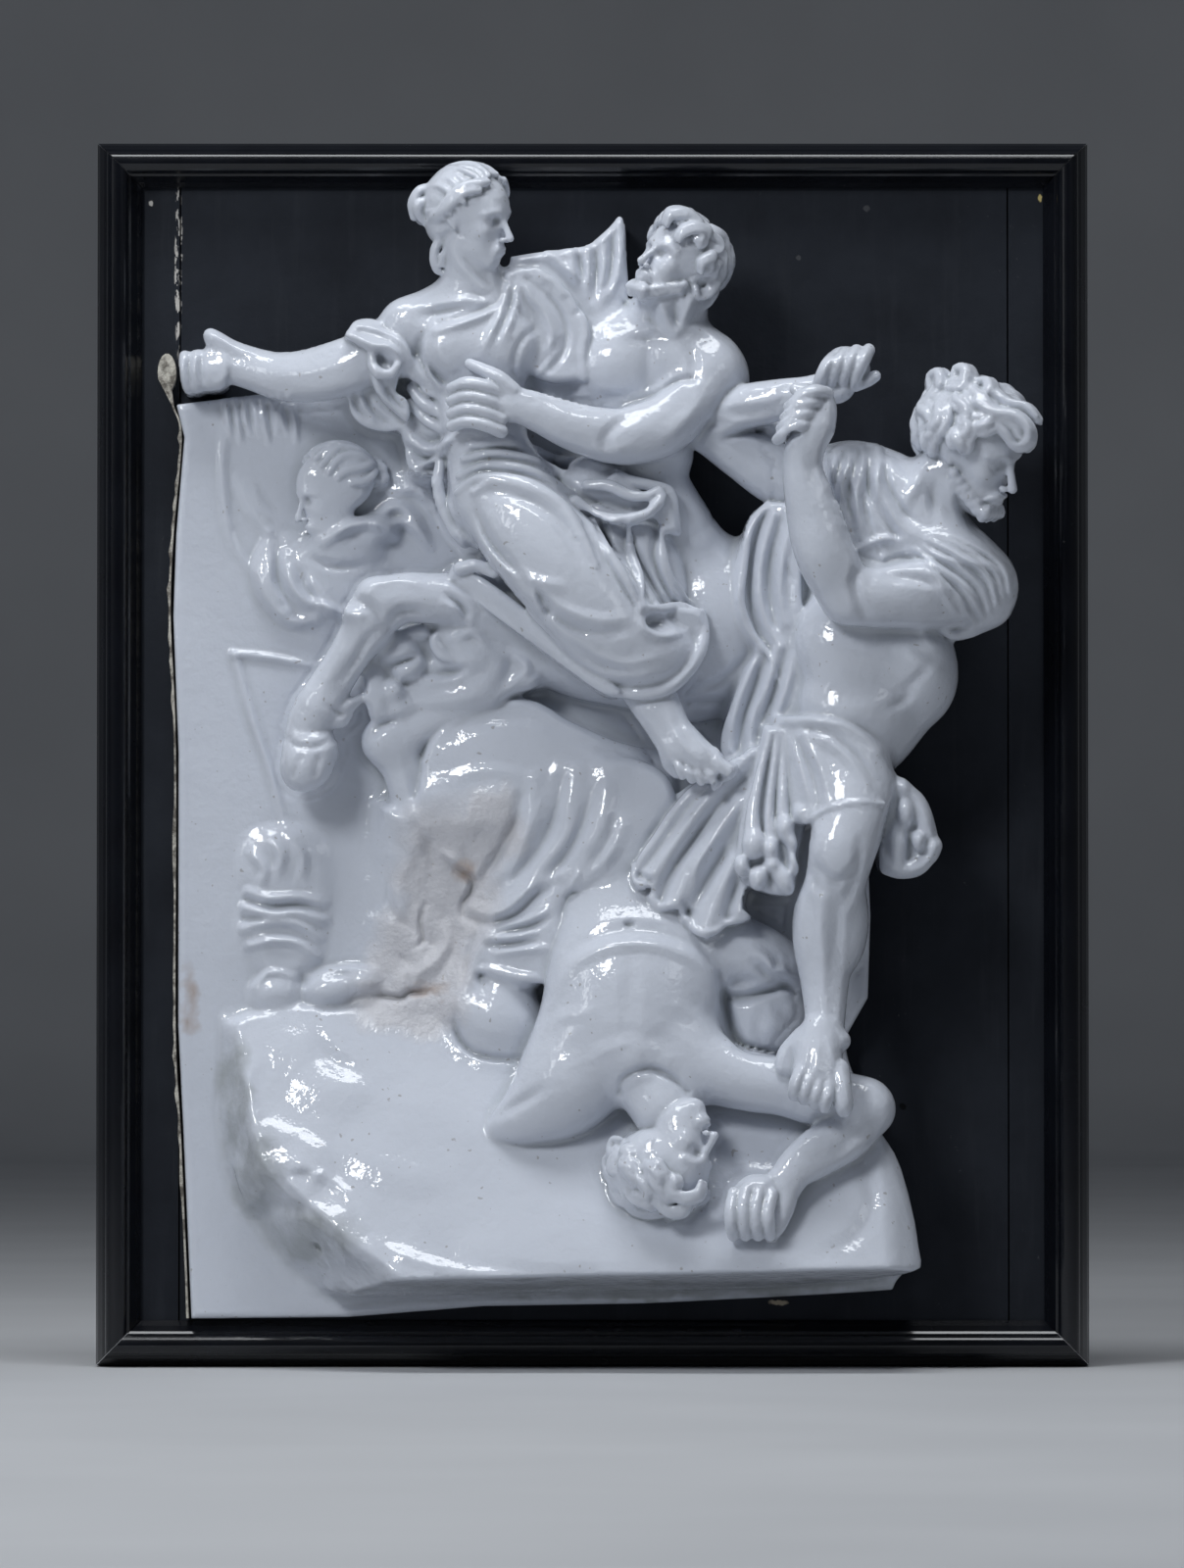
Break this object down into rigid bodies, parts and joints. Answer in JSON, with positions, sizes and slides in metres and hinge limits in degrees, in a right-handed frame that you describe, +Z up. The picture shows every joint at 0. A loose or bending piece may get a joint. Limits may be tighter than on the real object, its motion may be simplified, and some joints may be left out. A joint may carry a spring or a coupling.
{
  "type": "relief plaque",
  "caption": "White glazed porcelain high relief of struggling mythological figures on rocks, on a dark board in a black moulded frame, to hang on a wall.",
  "frame": {"origin": "middle of the back of the board, on the wall's face", "axes": "+Y points into the wall, -Y is the front, +Z is up, +X is to the right of someone who faces the relief"},
  "size_m": [0.365, 0.0935, 0.45],
  "materials": {
    "porcelain": "white porcelain under a clear glossy glaze, with fine dark specks and brown firing cracks",
    "plaster": "matte cream plaster",
    "board": "old matte blackish paint, scuffed",
    "frame": "ebonised and polished"
  },
  "bodies": {
    "root": {"relief_plaque": "porcelain", "plaster_fill": "plaster", "back_panel": "board", "side_strip_left": "board", "side_strip_right": "board", "frame_top": "frame", "frame_bottom": "frame", "frame_left": "frame", "frame_right": "frame"}
  },
  "joints": []
}
